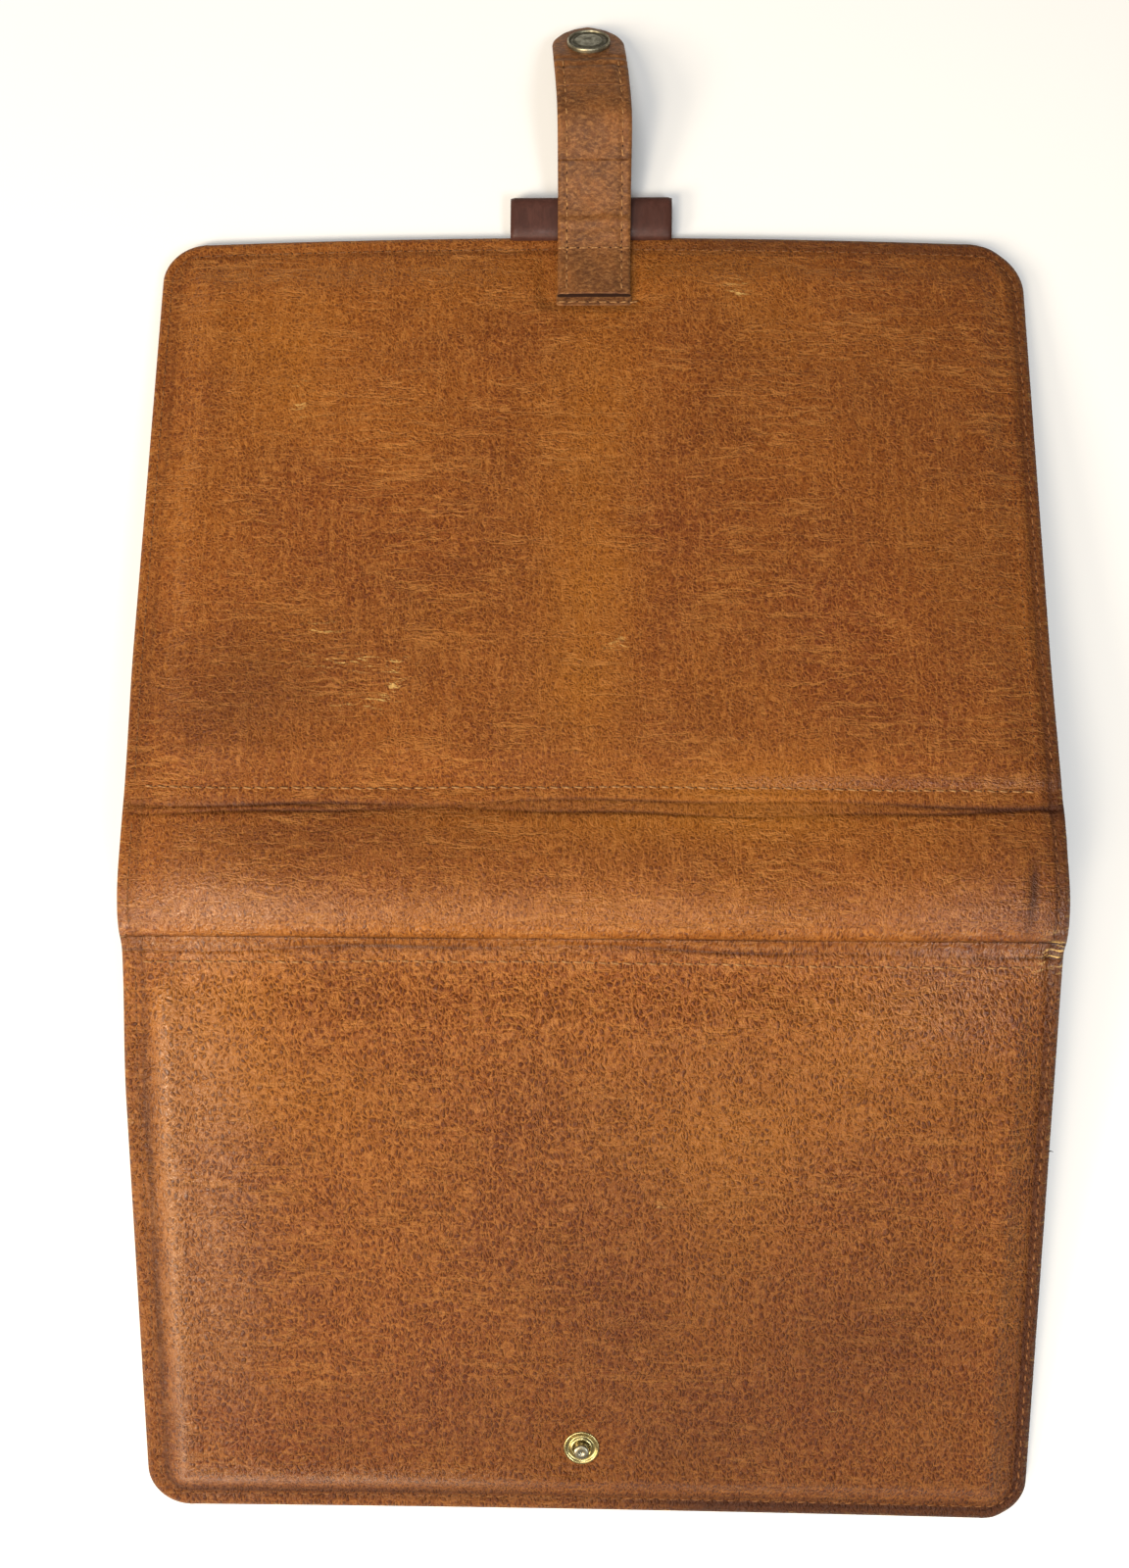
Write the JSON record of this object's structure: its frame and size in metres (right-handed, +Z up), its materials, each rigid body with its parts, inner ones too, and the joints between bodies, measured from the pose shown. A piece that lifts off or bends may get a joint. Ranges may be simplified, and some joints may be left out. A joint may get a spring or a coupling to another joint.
{
  "type": "passport holder",
  "caption": "Padded leather travel document holder: two covers hinged on a soft spine, closed by a wrap-round snap strap, with a pen loop.",
  "frame": {"origin": "middle of the bounding box, on the surface that the free edges rest on", "axes": "+X along the spine, +Y towards the back cover and its strap, +Z up, out of the outer leather"},
  "size_m": [0.248, 0.4312, 0.0364],
  "materials": {
    "tan_leather": "full-grain pull-up leather, satin, worn",
    "strap_leather": "worn strap leather, semi-matte",
    "strap_lining": "smooth dark leather",
    "lining_leather": "smooth dark red-brown lining leather",
    "loop_leather": "smooth dark red-brown leather",
    "foam": "sealed foam",
    "board": "bonded leather board",
    "thread": "waxed thread",
    "old_brass": "antique brass",
    "socket_brass": "brass",
    "brass": "polished brass"
  },
  "bodies": {
    "spine": {"spine_leather": "tan_leather", "spine_padding": "foam", "spine_board": "board", "spine_lining": "lining_leather"},
    "back_cover": {"back_leather": "tan_leather", "back_padding": "foam", "back_board": "board", "back_lining": "lining_leather", "back_thread": "thread", "document_pocket": "lining_leather", "card_slot_1": "lining_leather", "card_slot_2": "lining_leather", "card_slot_3": "lining_leather", "strap_base_leather": "strap_leather", "strap_base_lining": "strap_lining"},
    "front_cover": {"front_leather": "tan_leather", "front_padding": "foam", "front_board": "board", "front_lining": "lining_leather", "front_thread": "thread", "passport_pocket": "lining_leather", "passport_gusset_inner": "lining_leather", "passport_gusset_outer": "lining_leather", "passport_gusset_end": "lining_leather", "snap_stud": "brass", "snap_stud_post": "brass"},
    "strap_mid": {"strap_mid_leather": "strap_leather", "strap_mid_lining": "strap_lining"},
    "strap_turn": {"strap_turn_leather": "strap_leather", "strap_turn_lining": "strap_lining"},
    "strap_end": {"strap_end_leather": "strap_leather", "strap_end_lining": "strap_lining", "snap_cap": "old_brass", "snap_socket": "socket_brass", "snap_spring": "socket_brass"},
    "pen_loop": {"pen_loop": "loop_leather"}
  },
  "joints": [
    {"name": "back_fold", "type": "hinge", "parent": "spine", "child": "back_cover", "pos_m": [0, -0.01421, 0.02756], "axis": [-1, 0, 0], "range_deg": [-9.5, 85.8]},
    {"name": "front_fold", "type": "hinge", "parent": "spine", "child": "front_cover", "pos_m": [0, -0.05021, 0.02756], "axis": [1, 0, 0], "range_deg": [-9.5, 85.8]},
    {"name": "strap_wrap", "type": "hinge", "parent": "back_cover", "child": "strap_mid", "pos_m": [0, 0.15984, 0.00797], "axis": [-1, 0, 0], "range_deg": [0, 118.5]},
    {"name": "strap_bend", "type": "hinge", "parent": "strap_mid", "child": "strap_turn", "pos_m": [0, 0.18069, 0.01725], "axis": [-1, 0, 0], "range_deg": [-25, 42.4]},
    {"name": "strap_tip_bend", "type": "hinge", "parent": "strap_turn", "child": "strap_end", "pos_m": [0, 0.19899, 0.0113], "axis": [-1, 0, 0], "range_deg": [-14.6, 9]},
    {"name": "pen_loop_fold", "type": "hinge", "parent": "back_cover", "child": "pen_loop", "pos_m": [0, 0.151, 0], "axis": [-1, 0, 0], "range_deg": [0, 93]}
  ],
  "couplings": [
    {"joint": "strap_tip_bend", "follows": "strap_bend", "ratio": -0.34198},
    {"joint": "pen_loop_fold", "follows": "strap_wrap", "ratio": 0.78059}
  ]
}
